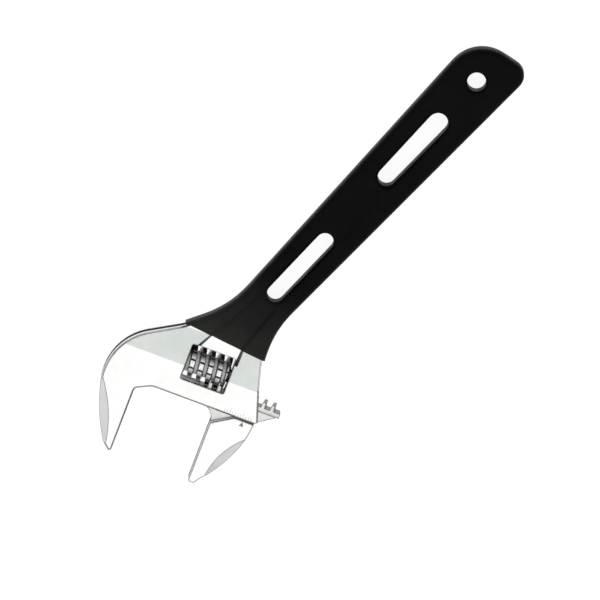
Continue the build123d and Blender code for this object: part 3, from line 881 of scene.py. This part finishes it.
def give_wall(grip):
    """Turn the skin into a sleeve with a real wall, thinner where the steel is close under it."""
    group = grip.vertex_groups.new(name="wall")
    for v in grip.data.vertices:
        spare = (abs(v.co.z) / MM - STEEL_HALF) / GRIP_WALL
        flat = abs(v.normal.z) > 0.8
        share = float(np.clip(spare, THINNEST_SHARE, 1.0)) if flat else 1.0
        group.add([v.index], share, "REPLACE")
    wall = grip.modifiers.new("wall", "SOLIDIFY")
    wall.thickness = GRIP_WALL * MM
    wall.offset = -1.0
    wall.vertex_group = "wall"
    wall.use_even_offset = False
    wall.use_rim = True


def shade_smooth(obj, angle=None):
    """Smooth shading, with edges sharper than the angle kept crisp."""
    for face in obj.data.polygons:
        face.use_smooth = True
    if angle is not None:
        obj.data.set_sharp_from_angle(angle=angle)


# ---- marks -----------------------------------------------------------------------------------
MARK_HEIGHT = 0.03
MARK_ROOT = -0.25


def mark_mesh(name, outlines, z):
    """Thin inlaid marks on both faces, from closed outlines in head coordinates."""
    vertices, faces = [], []
    for outline in outlines:
        for side in (1, -1):
            start = len(vertices)
            count = len(outline)
            for level in (MARK_ROOT, MARK_HEIGHT):
                vertices.extend(head_point(u, w, side * (z + level)) for u, w in outline)
            bottom = [start + i for i in range(count)]
            top = [start + count + i for i in range(count)]
            faces.append(tuple(top))
            faces.append(tuple(reversed(bottom)))
            for i in range(count):
                j = (i + 1) % count
                faces.append((bottom[i], bottom[j], top[j], top[i]))
    mesh = bpy.data.meshes.new(name)
    mesh.from_pydata([tuple(v) for v in vertices], [], faces)
    bm = bmesh.new()
    bm.from_mesh(mesh)
    bmesh.ops.recalc_face_normals(bm, faces=bm.faces)
    bm.to_mesh(mesh)
    bm.free()
    made = bpy.data.objects.new(name, mesh)
    bpy.context.scene.collection.objects.link(made)
    return made


def rounded_bar(u, w_low, w_high, width):
    """The outline of one scale tick, with round ends."""
    half = width / 2
    points = []
    for centre, start in ((w_high - half, 0), (w_low + half, math.pi)):
        for k in range(5):
            angle = start + math.pi * k / 4
            points.append((u + half * math.cos(angle), centre + half * math.sin(angle)))
    return points


SCALE_FROM, SCALE_TO, SCALE_FOOT = 33, 43, -0.75
TICK_WIDTH, TICK_LENGTH, LONG_TICK_LENGTH = 0.12, 1.0, 1.7
INDEX_APEX = (40.5, 0.75)
INDEX_HALF_WIDTH, INDEX_LENGTH = 0.85, 1.6


def opening_scale():
    """Millimetre ticks on the body's lip, every fifth one longer."""
    ticks = []
    for k in range(SCALE_TO - SCALE_FROM + 1):
        length = LONG_TICK_LENGTH if k % 5 == 2 else TICK_LENGTH
        ticks.append(rounded_bar(SCALE_FROM + k, SCALE_FOOT - length, SCALE_FOOT, TICK_WIDTH))
    return mark_mesh("opening_scale", ticks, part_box("wrench_body")[1].z / MM)


def index_mark():
    """The small triangle on the moving jaw that points at the scale."""
    u, w = INDEX_APEX
    base = w + INDEX_LENGTH
    outline = [(u, w), (u + INDEX_HALF_WIDTH, base), (u - INDEX_HALF_WIDTH, base)]
    return mark_mesh("index_mark", [outline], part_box("movable_jaw")[1].z / MM)


# ---- stage -----------------------------------------------------------------------------------
FLOOR_SIZE = 3.0
FLOOR_SEGMENTS = 40
FLOOR_GAP = 0.0001
CEILING_LEAN = math.radians(16)
# the sky's grey by how near a direction is to the ceiling's middle
CEILING = [(0.0, 0.10), (0.18, 0.16), (0.38, 0.62), (0.60, 0.84), (0.90, 0.96), (0.985, 1.0)]
CEILING_STRENGTH = 1.03


def make_floor():
    """A flat pale board just under the wrench."""
    segments = {"x_segments": FLOOR_SEGMENTS, "y_segments": FLOOR_SEGMENTS}
    bm = bmesh.new()
    bmesh.ops.create_grid(bm, size=FLOOR_SIZE, **segments)
    mesh = bpy.data.meshes.new("floor")
    bm.to_mesh(mesh)
    bm.free()
    floor = bpy.data.objects.new("floor", mesh)
    floor.location = (CAMERA_TARGET.x, CAMERA_TARGET.y, CAD_BOX[0].z - FLOOR_GAP)
    bpy.context.scene.collection.objects.link(floor)
    floor.data.materials.append(floor_material())


def make_world():
    """An even bright ceiling that darkens towards the horizon."""
    world = bpy.data.worlds.new("studio")
    world.use_nodes = True
    tree = world.node_tree
    bpy.context.scene.world = world
    background = tree.nodes["Background"]
    coordinate = tree.nodes.new("ShaderNodeTexCoord")
    dot = tree.nodes.new("ShaderNodeVectorMath")
    dot.operation = "DOT_PRODUCT"
    dot.inputs[1].default_value = Z * math.cos(CEILING_LEAN) + W * math.sin(CEILING_LEAN)
    tree.links.new(coordinate.outputs["Generated"], dot.inputs[0])
    ramp = tree.nodes.new("ShaderNodeValToRGB")
    tree.links.new(dot.outputs["Value"], ramp.inputs["Fac"])
    elements = ramp.color_ramp.elements
    while len(elements) < len(CEILING):
        elements.new(0.5)
    for element, (place, grey) in zip(elements, CEILING):
        element.position = place
        element.color = (grey, grey, grey, 1)
    tree.links.new(ramp.outputs["Color"], background.inputs["Color"])
    background.inputs["Strength"].default_value = CEILING_STRENGTH


def add_light(name, place, size, power):
    """A soft round light that faces the wrench."""
    data = bpy.data.lights.new(name, "AREA")
    data.shape = "DISK"
    data.size = size
    data.energy = power
    light = bpy.data.objects.new(name, data)
    bpy.context.scene.collection.objects.link(light)
    light.location = place
    light.rotation_mode = "QUATERNION"
    light.rotation_quaternion = (CAMERA_TARGET - Vector(place)).to_track_quat("-Z", "Y")


# ---- put together ----------------------------------------------------------------------------
make_camera()
bpy.context.scene.view_settings.view_transform = "Standard"
make_world()
make_floor()
add_light("overhead", CAMERA_TARGET + Vector((0.55, 0.35, 1.6)), 1.0, 0.5)
add_light("side", CAMERA_TARGET + Vector((-0.9, 0.9, 1.1)), 0.7, 1.2)

# each steel: its name, darker and lighter tone, and the range of its roughness
chrome = steel("chrome_ground_face", (0.86, 0.86, 0.85, 1), (0.92, 0.92, 0.91, 1), (0.22, 0.34))
# sloping faces in a darker copy of the chrome: painted shade
shaded_slope = steel("chrome_slope_painted_shade", (0.63, 0.67, 0.645, 1), (0.73, 0.76, 0.735, 1), (0.26, 0.36))
# side walls with a darker band at mid-height: partly the forging's band, partly painted shade
sides = steel(
    "chrome_forged_side",
    (0.80, 0.81, 0.80, 1),
    (0.90, 0.91, 0.90, 1),
    (0.30, 0.42),
    line=0.05,
    middle=(0.14, 0.145, 0.14, 1),
)
facet = steel(
    "chrome_brushed_facet",
    (0.80, 0.80, 0.79, 1),
    (0.92, 0.92, 0.91, 1),
    (0.30, 0.42),
    grain=(6000, 700, 700),
    grain_depth=0.00002,
)
# broken edges in dark steel: painted reflection of the dark surroundings that these tilted faces
# reflect
edge = steel(
    "chrome_broken_edge_painted_dark",
    (0.22, 0.225, 0.22, 1),
    (0.34, 0.345, 0.34, 1),
    (0.28, 0.40),
    line=0.05,
)
# dark steel in the window, the channel and on the rail's flanks: partly unpolished steel, partly
# painted shade in these recesses and under the rail
inner = steel("unpolished_inner_steel_painted_shade", (0.10, 0.10, 0.10, 1), (0.22, 0.22, 0.21, 1), (0.34, 0.50))
rail = steel("rail_steel", (0.62, 0.62, 0.61, 1), (0.76, 0.76, 0.74, 1), (0.28, 0.38))
pin = steel("pin_ground_steel", (0.30, 0.30, 0.31, 1), (0.45, 0.45, 0.46, 1), (0.25, 0.36))
spring = steel("spring_wire", (0.18, 0.18, 0.19, 1), (0.30, 0.30, 0.31, 1), (0.28, 0.40))

body_steels = [chrome, shaded_slope, sides, facet, inner, edge]
window = window_box()
paint_node(NODES["wrench_body"], body_steels, lambda face: body_region(face, window))
paint_node(NODES["movable_jaw"], [chrome, rail, sides, facet, inner, edge], jaw_region)
paint_node(NODES["worm"], [worm_steel()])
paint_node(NODES["worm_pin"], [pin])
paint_node(NODES["worm_spring"], [spring])

sleeve = Grip(NODES["grip"]).build()
give_wall(sleeve)
shade_smooth(sleeve, math.radians(50))
sleeve.data.materials.append(vinyl())
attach(sleeve, "frame")
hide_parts("grip")

ticks = opening_scale()
ticks.data.materials.append(paint("scale_fill", (0.10, 0.10, 0.09), (0.34, 0.34, 0.32)))
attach(ticks, "frame")

mark = index_mark()
mark.data.materials.append(paint("index_fill", (0.13, 0.12, 0.03), (0.30, 0.28, 0.14)))
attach(mark, "jaw")
